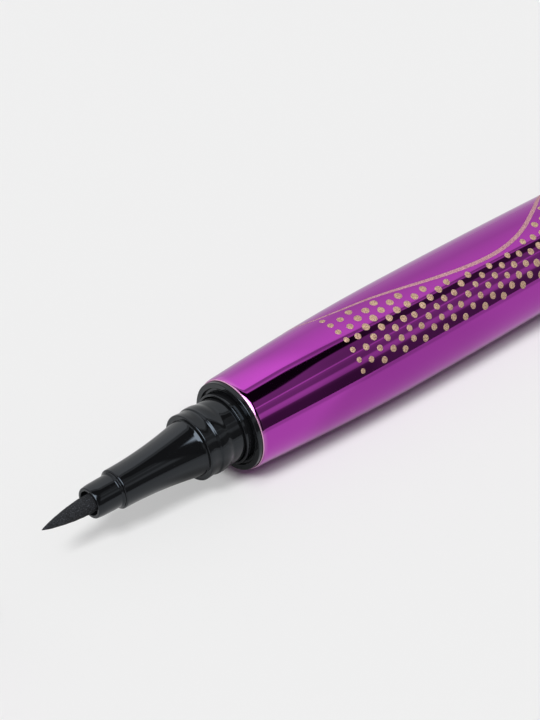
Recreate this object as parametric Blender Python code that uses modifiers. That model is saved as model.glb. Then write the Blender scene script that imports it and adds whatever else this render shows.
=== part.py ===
"""A liquid eyeliner pen with a felt nib, lying uncapped, with its cap drawn off along the pen's own line.

The pen lies along X in metres, +Z up. The origin is the centre of its flat tail face and the nib points
to -X. Almost every piece is turned, so it is drawn as corners (station, radius, fillet) about the pen's
axis. A station of the pen is measured from the plane of the barrel's mouth, positive towards the tail.
A station of the cap is measured from the cap's own mouth towards its closed end.
"""

from math import cos, pi, sin, tan, tau

import bmesh
import bpy
from mathutils import Matrix, Vector

MM = 0.001

# Fits between neighbours
FIT_GAP = 0.10 * MM  # pressed or seated pieces, on the radius or face to face
SLIDE_GAP = 0.15 * MM  # pieces that slide in one another
LOOSE_GAP = 0.30 * MM  # pieces that are free to rattle

# Barrel shell: a slim spindle, narrow at the mouth, fullest near its front third
BARREL_LENGTH = 90.0 * MM
MOUTH_RADIUS = 5.0 * MM
BELLY_RISE = 0.93 * MM
BELLY_START = 23.5 * MM
BELLY_LENGTH = 2.0 * MM
TAIL_DROP = 0.5 * MM
TAIL_EDGE = 0.6 * MM
MOUTH_WALL = 0.85 * MM
LIP_THICKNESS = 0.18 * MM
LIP_EDGE = 0.08 * MM
LIP_DEPTH = 0.8 * MM
TAIL_WALL = 0.9 * MM
TAIL_BORE_LENGTH = 10.0 * MM

# Collar in the mouth, with a flat ring, a groove and a raised root ring round the section
COLLAR_STAND = 0.5 * MM
COLLAR_WALL = 0.45 * MM
COLLAR_DEPTH = 7.0 * MM
COLLAR_EDGE = 0.12 * MM
COLLAR_GROOVE_DEPTH = 0.2 * MM
ROOT_RING_WIDTH = 0.25 * MM
ROOT_RING_RISE = 0.1 * MM
FLAT_RING_WIDTH = 0.5 * MM

# Front section: a sleeve with a snap bead, then a hollow-sided cone
SECTION_LENGTH = 5.5 * MM
SECTION_FLANGE = 1.0 * MM
SECTION_WALL = 0.9 * MM
BEAD_RISE = 0.15 * MM
BAND_STEP = 0.42 * MM
BAND_EDGE = 0.12 * MM
CONE_LENGTH = 9.4 * MM
CONE_STEP = 0.36 * MM
CONE_EDGE = 0.15 * MM
BAY_WALL = 0.9 * MM

# Nozzle that grips the nib
NOZZLE_LENGTH = 3.3 * MM
NOZZLE_WALL = 0.65 * MM
NOZZLE_SHOULDER = 0.15 * MM
NOZZLE_SPIGOT = 3.8 * MM
NOZZLE_EDGE = 0.32 * MM
NOZZLE_CHAMFER = 0.14 * MM

# Felt nib and the fibre wick that feeds it
NIB_RADIUS = 0.94 * MM
NIB_REACH = 5.7 * MM
NIB_TAPER = 6.0 * MM
NIB_TIP_RADIUS = 0.05 * MM
NIB_SHANK = 8.2 * MM
WICK_RADIUS = 0.8 * MM
WICK_DIP = 6.0 * MM

# Ink collector: a comb of fins on a core tube, then a flange and a spigot that stop the tank
CORE_WALL = 0.5 * MM
FIN_THICKNESS = 0.5 * MM
FIN_PITCH = 1.3 * MM
AIR_SLOT_WIDTH = 0.6 * MM
COLLECTOR_FLANGE = 1.0 * MM
COLLECTOR_SPIGOT = 4.0 * MM
SEAL_GROOVE_DEPTH = 0.75 * MM
SEAL_SQUEEZE = 0.06 * MM

# Ink tank, its rear plug, the ball that stirs the ink and the plug in the barrel's tail
TANK_WALL = 0.7 * MM
TANK_PLUG_FLANGE = 1.0 * MM
TANK_PLUG_DEPTH = 5.0 * MM
TANK_PLUG_WALL = 0.8 * MM
BALL_RADIUS = 1.5 * MM
TAIL_PLUG_HEAD = 1.2 * MM
TAIL_PLUG_WALL = 0.8 * MM

# Cap, drawn off to CAP_DRAW ahead of the barrel's mouth
CAP_DRAW = 38.0 * MM
CAP_SEAT_GAP = 0.2 * MM
CAP_LENGTH = 40.0 * MM
CAP_END_WALL = 0.65 * MM
CAP_END_THICKNESS = 1.2 * MM
CAP_END_EDGE = 0.9 * MM
CAP_LIP_DEPTH = 0.95 * MM
INNER_WALL = 0.45 * MM
INNER_REAR_WALL = 0.4 * MM
SNAP_RISE = 0.08 * MM
SNAP_WIDTH = 0.6 * MM
BAY_CLEARANCE = 0.6 * MM
CONE_CLEARANCE = 0.17 * MM
LIP_STOP = 0.6 * MM

# Sprung cup that seals the nozzle inside the cap
CUP_WALL = 0.45 * MM
CUP_FLANGE = 1.5 * MM
CUP_FLOOR = 0.9 * MM
CUP_CLEARANCE = 0.23 * MM
NIB_CLEARANCE = 0.4 * MM
SEAL_TRAVEL = 1.5 * MM
SPRING_WIRE_RADIUS = 0.22 * MM
SPRING_LEAST_GAP = 0.4 * MM

# Counts of facets, points and turns
ROUND_STEPS = 24
THIN_STEPS = 12
FILLET_STEPS = 2
FRONT_STATIONS = 7
REAR_STATIONS = 12
CONE_STATIONS = 6
NIB_STATIONS = 9
CAP_STATIONS = 7
SPRING_TURNS = 9
SPRING_STEPS = 10
BALL_RINGS = 8
BALL_SEGMENTS = 16
RING_SIDES = 8

# Form of the section ahead of the collar: shares of SECTION_LENGTH, and of BEAD_RISE above the sleeve
SNAP_GROOVE_SHARE = 0.42
section_form_shares = (
    (0.34, 0.0),
    (SNAP_GROOVE_SHARE, -0.5),
    (0.50, 0.1),
    (0.56, 0.85),
    (0.60, 1.0),
    (0.66, 0.7),
    (0.76, -0.1),
    (0.86, -0.2),
    (0.90, 0.15),
)
BAND_FORM_SHARE = 0.2  # of BEAD_RISE, the front band above the sleeve
NIB_FULLNESS = 0.75  # exponent: lower is blunter
MERGE_DISTANCE_SHARE = 0.001  # of FIT_GAP
SMOOTH_ANGLE = pi / 6

# Radii that follow from the sizes above, outside to inside
BELLY_RADIUS = MOUTH_RADIUS + BELLY_RISE
TAIL_RADIUS = MOUTH_RADIUS - TAIL_DROP
SHELL_BORE = MOUTH_RADIUS - MOUTH_WALL
LIP_BORE = MOUTH_RADIUS - LIP_THICKNESS
TAIL_BORE = TAIL_RADIUS - TAIL_WALL
COLLAR_RADIUS = SHELL_BORE - FIT_GAP
COLLAR_BORE = COLLAR_RADIUS - COLLAR_WALL
SECTION_RADIUS = COLLAR_BORE - FIT_GAP
BAY_RADIUS = SECTION_RADIUS - SECTION_WALL
NIB_BORE = NIB_RADIUS + SLIDE_GAP
NOZZLE_RADIUS = NIB_BORE + NOZZLE_WALL
SPIGOT_RADIUS = NOZZLE_RADIUS - NOZZLE_SHOULDER
CONE_FRONT_RADIUS = NOZZLE_RADIUS + CONE_STEP
CONE_REAR_RADIUS = SECTION_RADIUS - BAND_STEP
TANK_RADIUS = SHELL_BORE - FIT_GAP
TANK_BORE = TANK_RADIUS - TANK_WALL
CORE_BORE = WICK_RADIUS + FIT_GAP
CORE_RADIUS = CORE_BORE + CORE_WALL
FIN_RADIUS = BAY_RADIUS - FIT_GAP

# Stations of the pen
CONE_REAR = -SECTION_LENGTH
CONE_FRONT = CONE_REAR - CONE_LENGTH
NOZZLE_FRONT = CONE_FRONT - NOZZLE_LENGTH
NIB_TIP = NOZZLE_FRONT - NIB_REACH
NIB_REAR = NOZZLE_FRONT + NIB_SHANK
SPIGOT_REAR = CONE_FRONT + NOZZLE_SPIGOT
BAY_FRONT = CONE_REAR + BAY_WALL
SECTION_REAR = COLLAR_DEPTH + SECTION_FLANGE
COLLECTOR_SEAT = SECTION_REAR + FIT_GAP
TANK_FRONT = COLLECTOR_SEAT + COLLECTOR_FLANGE + FIT_GAP
COLLECTOR_REAR = TANK_FRONT - FIT_GAP + COLLECTOR_SPIGOT
WICK_REAR = COLLECTOR_REAR + WICK_DIP
SHELL_SHOULDER = BARREL_LENGTH - TAIL_BORE_LENGTH
TANK_PLUG_REAR = SHELL_SHOULDER - FIT_GAP
TANK_REAR = TANK_PLUG_REAR - TANK_PLUG_FLANGE - FIT_GAP
BALL_FRONT = WICK_REAR + LOOSE_GAP + BALL_RADIUS
BALL_REAR = TANK_REAR - TANK_PLUG_DEPTH - LOOSE_GAP - BALL_RADIUS

# Stations and radii of the cap, which follow the section that it closes over
SECTION_IN_CAP = SECTION_LENGTH - CAP_SEAT_GAP
CUP_MOUTH = SECTION_IN_CAP + CONE_LENGTH + SLIDE_GAP
CAP_STEP = SECTION_IN_CAP + BAY_CLEARANCE
CAP_FLOOR = CAP_LENGTH - CAP_END_THICKNESS
INNER_BORE = SECTION_RADIUS + BEAD_RISE + SLIDE_GAP + SNAP_RISE
INNER_RADIUS = INNER_BORE + INNER_WALL
INNER_REAR_BORE = CONE_REAR_RADIUS + CONE_CLEARANCE
INNER_REAR_RADIUS = INNER_REAR_BORE + INNER_REAR_WALL
CAP_BORE = INNER_RADIUS + FIT_GAP
CAP_REAR_BORE = INNER_REAR_RADIUS + FIT_GAP
CAP_END_RADIUS = CAP_REAR_BORE + CAP_END_WALL
POCKET_RADIUS = NOZZLE_RADIUS + CUP_CLEARANCE
CUP_RADIUS = POCKET_RADIUS + CUP_WALL
CUP_GUIDE_RADIUS = INNER_REAR_BORE - SLIDE_GAP
POCKET_STEP = CUP_MOUTH + NOZZLE_LENGTH + NIB_CLEARANCE
POCKET_FLOOR = CUP_MOUTH + NOZZLE_LENGTH + NIB_REACH + NIB_CLEARANCE
CUP_REAR = POCKET_FLOOR + CUP_FLOOR
STEM_REAR = CAP_FLOOR - FIT_GAP - SEAL_TRAVEL
LIP_STOP_FRONT = CUP_MOUTH + LIP_STOP
LIP_STOP_REAR = LIP_STOP_FRONT + LIP_STOP
SPRING_RADIUS = CUP_RADIUS - SPRING_WIRE_RADIUS - SPRING_WIRE_RADIUS
STEM_RADIUS = SPRING_RADIUS - SPRING_WIRE_RADIUS - LOOSE_GAP


def barrel_radius(station):
    """The barrel's outer radius: a quarter sine up to the belly, then a quarter cosine down to the tail."""
    belly_end = BELLY_START + BELLY_LENGTH
    if station < BELLY_START:
        return MOUTH_RADIUS + BELLY_RISE * sin(pi / 2 * station / BELLY_START)
    if station <= belly_end:
        return BELLY_RADIUS
    fall = (station - belly_end) / (BARREL_LENGTH - belly_end)
    return TAIL_RADIUS + (BELLY_RADIUS - TAIL_RADIUS) * cos(pi / 2 * fall)


def cap_radius(station):
    """The cap's outer radius, which goes on from the barrel's mouth and eases in to its closed end."""
    return MOUTH_RADIUS - (MOUTH_RADIUS - CAP_END_RADIUS) * sin(pi / 2 * station / CAP_LENGTH)


def sleeve_radius(rise):
    """The front section's radius ahead of the collar, with a share of the snap bead's rise."""
    return SECTION_RADIUS + BEAD_RISE * rise


def cone_radius(station):
    """The cone's outer radius, hollow-sided: it opens with the square of the way from its front."""
    back = (station - CONE_FRONT) / CONE_LENGTH
    return CONE_FRONT_RADIUS + (CONE_REAR_RADIUS - CONE_FRONT_RADIUS) * back**2


def nib_radius(from_tip):
    """The nib's radius, a rounded dart that reaches its full width at NIB_TAPER."""
    return NIB_RADIUS * sin(pi / 2 * min(from_tip / NIB_TAPER, 1)) ** NIB_FULLNESS


def between(start, end, count):
    """Count stations from start to end, with both of them."""
    return [start + (end - start) * i / (count - 1) for i in range(count)]


def rounded(corners):
    """The corners (station, radius, fillet) as points (radius, station), each fillet as a short curve."""
    points = []
    for i, (station, radius, fillet) in enumerate(corners):
        here = Vector((radius, station))
        if not fillet:
            points.append(here)
            continue
        before, after = (Vector(corners[j % len(corners)][1::-1]) - here for j in (i - 1, i + 1))
        half_angle = before.angle(after) / 2
        reach = min(fillet / tan(half_angle), before.length / 2, after.length / 2)
        start, end = here + before.normalized() * reach, here + after.normalized() * reach
        for step in range(FILLET_STEPS + 1):
            t = step / FILLET_STEPS
            points.append(start * (1 - t) ** 2 + here * 2 * t * (1 - t) + end * t**2)
    return points


def settle(obj):
    """Turn an object's modifiers into its mesh, shaded smooth but for its sharp edges."""
    evaluated = obj.evaluated_get(bpy.context.evaluated_depsgraph_get())
    mesh = bpy.data.meshes.new_from_object(evaluated)
    mesh.name = obj.name
    obj.modifiers.clear()
    obj.data = mesh
    mesh.shade_smooth()
    mesh.set_sharp_from_angle(angle=SMOOTH_ANGLE)


def place(name, mesh, finish, parent):
    """A named part with its finish, hung on its axis."""
    obj = bpy.data.objects.new(name, mesh)
    parts.objects.link(obj)
    obj.parent = parent
    if not mesh.materials:
        mesh.materials.append(finish)
    return obj


def turned(name, corners, finish, parent, steps=ROUND_STEPS):
    """A turned part: its corners, joined in order and closed, swept round the axis by a Screw modifier."""
    points = rounded(corners)
    ring = min(point.x for point in points) > 0
    around = zip(points, points[1:] + points[:1])
    if sum(a.x * b.y - b.x * a.y for a, b in around) > 0:
        points.reverse()  # the outline runs down its outer side, so the faces point out
    edges = [(i, i + 1) for i in range(len(points) - 1)]
    if ring:
        edges.append((len(points) - 1, 0))
    mesh = bpy.data.meshes.new(name)
    mesh.from_pydata([(point.x, 0, point.y) for point in points], edges, [])
    obj = place(name, mesh, finish, parent)
    screw = obj.modifiers.new("turn", "SCREW")
    screw.steps = screw.render_steps = steps
    screw.use_merge_vertices = True
    screw.merge_threshold = FIT_GAP * MERGE_DISTANCE_SHARE
    settle(obj)
    return obj


def finish(name, colour, roughness, metallic=0.0):
    """A Principled material of one colour."""
    material = bpy.data.materials.new(name)
    material.use_nodes = True
    shader = material.node_tree.nodes["Principled BSDF"]
    shader.inputs["Base Color"].default_value = (*colour, 1)
    shader.inputs["Roughness"].default_value = roughness
    shader.inputs["Metallic"].default_value = metallic
    return material


def empty(name, parent, matrix):
    """An empty that carries the pieces of one body along its axis."""
    obj = bpy.data.objects.new(name, None)
    parts.objects.link(obj)
    obj.parent = parent
    obj.matrix_local = matrix
    return obj


for old in list(bpy.data.objects):
    bpy.data.objects.remove(old)
parts = bpy.data.collections.new("eyeliner")
cutters = bpy.data.collections.new("cutters")
for collection in (parts, cutters):
    bpy.context.scene.collection.children.link(collection)

# Finishes
shell_purple = finish("metallised_purple", (0.42, 0.06, 0.42), 0.08, 1.0)
cap_purple = finish("metallised_purple_cap", (0.42, 0.06, 0.42), 0.08, 1.0)
section_black = finish("section_black", (0.012, 0.012, 0.014), 0.22)
collar_black = finish("collar_black", (0.012, 0.012, 0.014), 0.25)
nozzle_black = finish("nozzle_black", (0.012, 0.012, 0.014), 0.24)
felt = finish("inked_felt", (0.045, 0.045, 0.05), 0.9)
wick_fibre = finish("wick_fibre", (0.55, 0.53, 0.5), 0.9)
comb_white = finish("comb_white", (0.75, 0.75, 0.73), 0.4)
ring_rubber = finish("ring_rubber", (0.03, 0.03, 0.03), 0.7)
tank_clear = finish("tank_clear", (0.8, 0.82, 0.84), 0.1)
tank_plug_white = finish("tank_plug_white", (0.8, 0.8, 0.8), 0.4)
ball_steel = finish("ball_steel", (0.6, 0.6, 0.62), 0.15, 1.0)
tail_black = finish("tail_black", (0.012, 0.012, 0.014), 0.3)
inner_black = finish("inner_cap_black", (0.015, 0.015, 0.017), 0.35)
cup_grey = finish("seal_cup_grey", (0.35, 0.35, 0.36), 0.5)
spring_steel = finish("spring_steel", (0.55, 0.55, 0.57), 0.25, 1.0)

# The pen's axis starts at the mouth and runs to the tail along +X, turned to lay a flat facet underneath.
to_tail = Matrix.Rotation(pi / ROUND_STEPS, 4, "X") @ Matrix.Rotation(pi / 2, 4, "Y")
pen_axis = empty("pen_axis", None, Matrix.Translation((-BARREL_LENGTH, 0, 0)) @ to_tail)
# The cap's axis starts at the cap's mouth and runs to its closed end, away from the pen.
turned_over = Matrix.Rotation(pi, 4, "X")
cap_axis = empty("cap_axis", pen_axis, Matrix.Translation((0, 0, -CAP_DRAW)) @ turned_over)
seal_axis = empty("seal_axis", cap_axis, Matrix.Identity(4))

# Barrel shell: the outer swell from tail to mouth, the lip round the collar, then the bores to the tail
belly_end = BELLY_START + BELLY_LENGTH
rear_stations = between(BARREL_LENGTH, belly_end, REAR_STATIONS)[1:]
front_stations = between(BELLY_START, 0, FRONT_STATIONS)[:-1]
turned(
    "barrel_shell",
    [
        (BARREL_LENGTH, TAIL_BORE, 0),
        (BARREL_LENGTH, TAIL_RADIUS, TAIL_EDGE),
        *((station, barrel_radius(station), 0) for station in rear_stations + front_stations),
        (0, MOUTH_RADIUS, LIP_EDGE),
        (0, LIP_BORE, 0),
        (LIP_DEPTH, LIP_BORE, 0),
        (LIP_DEPTH, SHELL_BORE, 0),
        (SHELL_SHOULDER, SHELL_BORE, 0),
        (SHELL_SHOULDER, TAIL_BORE, 0),
    ],
    shell_purple,
    pen_axis,
)

# Collar: a sleeve in the bore, and a head in the lip with a flat ring, a groove and the root ring
collar_head = LIP_BORE - FIT_GAP
groove_outer = collar_head - FLAT_RING_WIDTH
root_outer = COLLAR_BORE + ROOT_RING_WIDTH
turned(
    "mouth_collar",
    [
        (COLLAR_DEPTH - FIT_GAP, COLLAR_BORE, 0),
        (COLLAR_DEPTH - FIT_GAP, COLLAR_RADIUS, 0),
        (LIP_DEPTH - FIT_GAP, COLLAR_RADIUS, 0),
        (LIP_DEPTH - FIT_GAP, collar_head, 0),
        (-COLLAR_STAND, collar_head, COLLAR_EDGE),
        (-COLLAR_STAND, groove_outer, 0),
        (-COLLAR_STAND + COLLAR_GROOVE_DEPTH, groove_outer, 0),
        (-COLLAR_STAND + COLLAR_GROOVE_DEPTH, root_outer, 0),
        (-COLLAR_STAND - ROOT_RING_RISE, root_outer, 0),
        (-COLLAR_STAND - ROOT_RING_RISE, COLLAR_BORE, 0),
    ],
    collar_black,
    pen_axis,
)

# Front section: the flange behind the collar, the sleeve with its snap bead, the front band, and the cone
cone_stations = between(CONE_REAR, CONE_FRONT, CONE_STATIONS)[:-1]
turned(
    "front_section",
    [
        (SECTION_REAR, BAY_RADIUS, 0),
        (SECTION_REAR, COLLAR_RADIUS, 0),
        (COLLAR_DEPTH, COLLAR_RADIUS, 0),
        (COLLAR_DEPTH, SECTION_RADIUS, 0),
        *((-SECTION_LENGTH * along, sleeve_radius(rise), 0) for along, rise in section_form_shares),
        (CONE_REAR, sleeve_radius(BAND_FORM_SHARE), BAND_EDGE),
        *((station, cone_radius(station), 0) for station in cone_stations),
        (CONE_FRONT, CONE_FRONT_RADIUS, CONE_EDGE),
        (CONE_FRONT, SPIGOT_RADIUS + FIT_GAP, 0),
        (SPIGOT_REAR + FIT_GAP, SPIGOT_RADIUS + FIT_GAP, 0),
        (SPIGOT_REAR + FIT_GAP, NIB_BORE, 0),
        (BAY_FRONT, NIB_BORE, 0),
        (BAY_FRONT, BAY_RADIUS, 0),
    ],
    section_black,
    pen_axis,
)

# Nozzle: a spigot in the cone, a shoulder on its front face, and a round nose with a chamfered bore
turned(
    "nozzle",
    [
        (SPIGOT_REAR, NIB_BORE, 0),
        (SPIGOT_REAR, SPIGOT_RADIUS, 0),
        (CONE_FRONT - FIT_GAP, SPIGOT_RADIUS, 0),
        (CONE_FRONT - FIT_GAP, NOZZLE_RADIUS, 0),
        (NOZZLE_FRONT, NOZZLE_RADIUS, NOZZLE_EDGE),
        (NOZZLE_FRONT, NIB_BORE + NOZZLE_CHAMFER, 0),
        (NOZZLE_FRONT + NOZZLE_CHAMFER, NIB_BORE, 0),
    ],
    nozzle_black,
    pen_axis,
)

# Felt nib, a dart with a straight shank
tip_distances = between(0, NIB_REACH, NIB_STATIONS)
turned(
    "felt_nib",
    [
        (NIB_REAR, 0, 0),
        (NIB_REAR, NIB_RADIUS, 0),
        *((NIB_TIP + d, nib_radius(d), 0) for d in reversed(tip_distances[1:])),
        (NIB_TIP, NIB_TIP_RADIUS, 0),
        (NIB_TIP, 0, 0),
    ],
    felt,
    pen_axis,
    THIN_STEPS,
)

# Wick, from the nib's shank through the collector into the ink
turned(
    "ink_wick",
    [
        (WICK_REAR, 0, 0),
        (WICK_REAR, WICK_RADIUS, 0),
        (NIB_REAR + FIT_GAP, WICK_RADIUS, 0),
        (NIB_REAR + FIT_GAP, 0, 0),
    ],
    wick_fibre,
    pen_axis,
    THIN_STEPS,
)

# Ink collector: spigot with a seal groove, flange, and as many fins as the section's bay holds
spigot_radius = TANK_BORE - FIT_GAP
seal_groove = spigot_radius - SEAL_GROOVE_DEPTH
seal_width = SEAL_GROOVE_DEPTH + FIT_GAP + SEAL_SQUEEZE
seal_middle = TANK_FRONT + COLLECTOR_SPIGOT / 2
comb_front = BAY_FRONT + FIT_GAP
fin_count = int((COLLECTOR_SEAT - comb_front) / FIN_PITCH)
fin_fronts = [comb_front + FIN_PITCH * i for i in reversed(range(fin_count))]
collector = turned(
    "ink_collector",
    [
        (COLLECTOR_REAR, CORE_BORE, 0),
        (COLLECTOR_REAR, spigot_radius, 0),
        (seal_middle + seal_width / 2, spigot_radius, 0),
        (seal_middle + seal_width / 2, seal_groove, 0),
        (seal_middle - seal_width / 2, seal_groove, 0),
        (seal_middle - seal_width / 2, spigot_radius, 0),
        (COLLECTOR_SEAT + COLLECTOR_FLANGE, spigot_radius, 0),
        (COLLECTOR_SEAT + COLLECTOR_FLANGE, TANK_RADIUS, 0),
        (COLLECTOR_SEAT, TANK_RADIUS, 0),
        (COLLECTOR_SEAT, CORE_RADIUS, 0),
        *(
            (front + across, radius, 0)
            for front in fin_fronts
            for across, radius in (
                (FIN_THICKNESS, CORE_RADIUS),
                (FIN_THICKNESS, FIN_RADIUS),
                (0, FIN_RADIUS),
                (0, CORE_RADIUS),
            )
        ),
        (comb_front, CORE_BORE, 0),
    ],
    comb_white,
    pen_axis,
)

# Air slot through the fins, on top of the core tube
slot_height = FIN_RADIUS - CORE_RADIUS
slot_length = fin_fronts[0] + FIN_THICKNESS - comb_front + LOOSE_GAP
slot_size = (slot_height + slot_height, AIR_SLOT_WIDTH, slot_length + LOOSE_GAP)
slot_shape = bmesh.new()
bmesh.ops.create_cube(slot_shape, size=1)
bmesh.ops.scale(slot_shape, vec=slot_size, verts=slot_shape.verts)
slot_mesh = bpy.data.meshes.new("air_slot")
slot_shape.to_mesh(slot_mesh)
slot_shape.free()
air_slot = bpy.data.objects.new("air_slot", slot_mesh)
cutters.objects.link(air_slot)
air_slot.parent = pen_axis
slot_floor = CORE_RADIUS + FIT_GAP
air_slot.location = (-slot_floor - slot_height, 0, comb_front + slot_length / 2 - LOOSE_GAP / 2)
air_slot.hide_render = True
air_slot.display_type = "WIRE"
cut = collector.modifiers.new("air_slot", "BOOLEAN")
cut.operation = "DIFFERENCE"
cut.object = air_slot
settle(collector)

# Seal ring in the spigot's groove, just short of the tank's wall
ring_tube = (SEAL_GROOVE_DEPTH - SEAL_SQUEEZE) / 2
ring_middle = TANK_BORE - FIT_GAP / 2 - SEAL_SQUEEZE - ring_tube
ring_angles = [tau * i / RING_SIDES for i in range(RING_SIDES)]
turned(
    "seal_ring",
    [(seal_middle + ring_tube * sin(a), ring_middle + ring_tube * cos(a), 0) for a in ring_angles],
    ring_rubber,
    pen_axis,
)

# Ink tank, a clear tube between the collector's flange and the rear plug
turned(
    "ink_tank",
    [
        (TANK_REAR, TANK_BORE, 0),
        (TANK_REAR, TANK_RADIUS, 0),
        (TANK_FRONT, TANK_RADIUS, 0),
        (TANK_FRONT, TANK_BORE, 0),
    ],
    tank_clear,
    pen_axis,
)

# Tank plug, a cup with a flange that stops against the barrel's inner shoulder
plug_radius = TANK_BORE - FIT_GAP
turned(
    "tank_plug",
    [
        (TANK_PLUG_REAR, 0, 0),
        (TANK_PLUG_REAR, TANK_RADIUS, 0),
        (TANK_REAR + FIT_GAP, TANK_RADIUS, 0),
        (TANK_REAR + FIT_GAP, plug_radius, 0),
        (TANK_REAR - TANK_PLUG_DEPTH, plug_radius, 0),
        (TANK_REAR - TANK_PLUG_DEPTH, plug_radius - TANK_PLUG_WALL, 0),
        (TANK_REAR + FIT_GAP, plug_radius - TANK_PLUG_WALL, 0),
        (TANK_REAR + FIT_GAP, 0, 0),
    ],
    tank_plug_white,
    pen_axis,
)

# Mixing ball, lying in the front of the tank behind the wick's end
ball_shape = bmesh.new()
bmesh.ops.create_uvsphere(ball_shape, u_segments=BALL_SEGMENTS, v_segments=BALL_RINGS, radius=BALL_RADIUS)
ball_mesh = bpy.data.meshes.new("mixing_ball")
ball_shape.to_mesh(ball_mesh)
ball_shape.free()
ball_mesh.shade_smooth()
ball = place("mixing_ball", ball_mesh, ball_steel, None)
ball.location = (BALL_FRONT - BARREL_LENGTH, 0, -(TANK_BORE - BALL_RADIUS - LOOSE_GAP))

# Tail plug, a cup whose flat head closes the barrel flush with its end
tail_radius = TAIL_BORE - FIT_GAP
turned(
    "tail_plug",
    [
        (BARREL_LENGTH, 0, 0),
        (BARREL_LENGTH, tail_radius, 0),
        (SHELL_SHOULDER, tail_radius, 0),
        (SHELL_SHOULDER, tail_radius - TAIL_PLUG_WALL, 0),
        (BARREL_LENGTH - TAIL_PLUG_HEAD, tail_radius - TAIL_PLUG_WALL, 0),
        (BARREL_LENGTH - TAIL_PLUG_HEAD, 0, 0),
    ],
    tail_black,
    pen_axis,
)

# Cap shell: closed end, the outer ease to the mouth, the lip that goes over the collar, then the bores
shell_stations = between(CAP_LENGTH, 0, CAP_STATIONS)[1:-1]
turned(
    "cap_shell",
    [
        (CAP_LENGTH, 0, 0),
        (CAP_LENGTH, CAP_END_RADIUS, CAP_END_EDGE),
        *((station, cap_radius(station), 0) for station in shell_stations),
        (0, MOUTH_RADIUS, LIP_EDGE),
        (0, LIP_BORE, 0),
        (CAP_LIP_DEPTH, LIP_BORE, 0),
        (CAP_LIP_DEPTH, CAP_BORE, 0),
        (CAP_STEP + BAY_CLEARANCE + FIT_GAP, CAP_BORE, 0),
        (CAP_STEP + BAY_CLEARANCE + FIT_GAP, CAP_REAR_BORE, 0),
        (CAP_FLOOR, CAP_REAR_BORE, 0),
        (CAP_FLOOR, 0, 0),
    ],
    cap_purple,
    cap_axis,
)

# Inner cap: the wide mouth with its snap ring, the narrow bay for the cone, and the lip that stops the cup
snap_middle = SECTION_LENGTH * SNAP_GROOVE_SHARE - CAP_SEAT_GAP
snap_bore = INNER_BORE - SNAP_RISE
turned(
    "inner_cap",
    [
        (CAP_FLOOR - FIT_GAP, INNER_REAR_BORE, 0),
        (CAP_FLOOR - FIT_GAP, INNER_REAR_RADIUS, 0),
        (CAP_STEP + BAY_CLEARANCE, INNER_REAR_RADIUS, 0),
        (CAP_STEP + BAY_CLEARANCE, INNER_RADIUS, 0),
        (CAP_LIP_DEPTH + FIT_GAP, INNER_RADIUS, 0),
        (CAP_LIP_DEPTH + FIT_GAP, INNER_BORE, 0),
        (snap_middle - SNAP_WIDTH / 2, INNER_BORE, 0),
        (snap_middle, snap_bore, 0),
        (snap_middle + SNAP_WIDTH / 2, INNER_BORE, 0),
        (CAP_STEP, INNER_BORE, 0),
        (CAP_STEP, INNER_REAR_BORE, 0),
        (LIP_STOP_FRONT, INNER_REAR_BORE, 0),
        (LIP_STOP_FRONT, CUP_RADIUS + SLIDE_GAP, 0),
        (LIP_STOP_REAR, CUP_RADIUS + SLIDE_GAP, 0),
        (LIP_STOP_REAR, INNER_REAR_BORE, 0),
    ],
    inner_black,
    cap_axis,
)

# Seal cup: a stem in the spring that stops its travel on the cap's floor, a guide flange behind the lip,
# and a pocket for the nozzle and the nib
guide_front = LIP_STOP_REAR + FIT_GAP
turned(
    "seal_cup",
    [
        (STEM_REAR, 0, 0),
        (STEM_REAR, STEM_RADIUS, 0),
        (CUP_REAR, STEM_RADIUS, 0),
        (CUP_REAR, CUP_RADIUS, 0),
        (guide_front + CUP_FLANGE, CUP_RADIUS, 0),
        (guide_front + CUP_FLANGE, CUP_GUIDE_RADIUS, 0),
        (guide_front, CUP_GUIDE_RADIUS, 0),
        (guide_front, CUP_RADIUS, 0),
        (CUP_MOUTH, CUP_RADIUS, 0),
        (CUP_MOUTH, POCKET_RADIUS, 0),
        (POCKET_STEP, POCKET_RADIUS, 0),
        (POCKET_STEP, NIB_BORE + NIB_CLEARANCE, 0),
        (POCKET_FLOOR, NIB_BORE + NIB_CLEARANCE, 0),
        (POCKET_FLOOR, 0, 0),
    ],
    cup_grey,
    seal_axis,
)

# Seal spring: one helix between two short straight ends, from the cup's back to the floor of the cap
wire_width = SPRING_WIRE_RADIUS + SPRING_WIRE_RADIUS
spring_start, spring_end = CUP_REAR + FIT_GAP, CAP_FLOOR - FIT_GAP
helix_start, helix_end = spring_start + wire_width, spring_end - wire_width
helix_count = SPRING_TURNS * SPRING_STEPS
helix = [
    Vector(
        (
            SPRING_RADIUS * cos(tau * i / SPRING_STEPS),
            SPRING_RADIUS * sin(tau * i / SPRING_STEPS),
            helix_start + (helix_end - helix_start) * i / helix_count,
        )
    )
    for i in range(helix_count + 1)
]
route = [Vector((*helix[0].xy, spring_start)), *helix, Vector((*helix[-1].xy, spring_end))]
spring_curve = bpy.data.curves.new("seal_spring", "CURVE")
spring_curve.dimensions = "3D"
spring_curve.bevel_depth = SPRING_WIRE_RADIUS
spring_curve.bevel_resolution = 1
spring_curve.use_fill_caps = True
spline = spring_curve.splines.new("POLY")
spline.points.add(len(route) - 1)
for point, place_on_route in zip(spline.points, route):
    point.co = (*place_on_route, 1)
place("seal_spring", spring_curve, spring_steel, cap_axis)

# The least gap from wire to wire is measured on the helix's points, one turn or more apart.
turn_gaps = [(a - b).length for i, a in enumerate(helix) for b in helix[i + SPRING_STEPS - 1 :]]
spring_gap = min(turn_gaps) - wire_width
print(f"seal_spring: least gap between turns {spring_gap / MM:.2f} mm, over {SPRING_LEAST_GAP / MM:.1f} mm")

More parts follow.
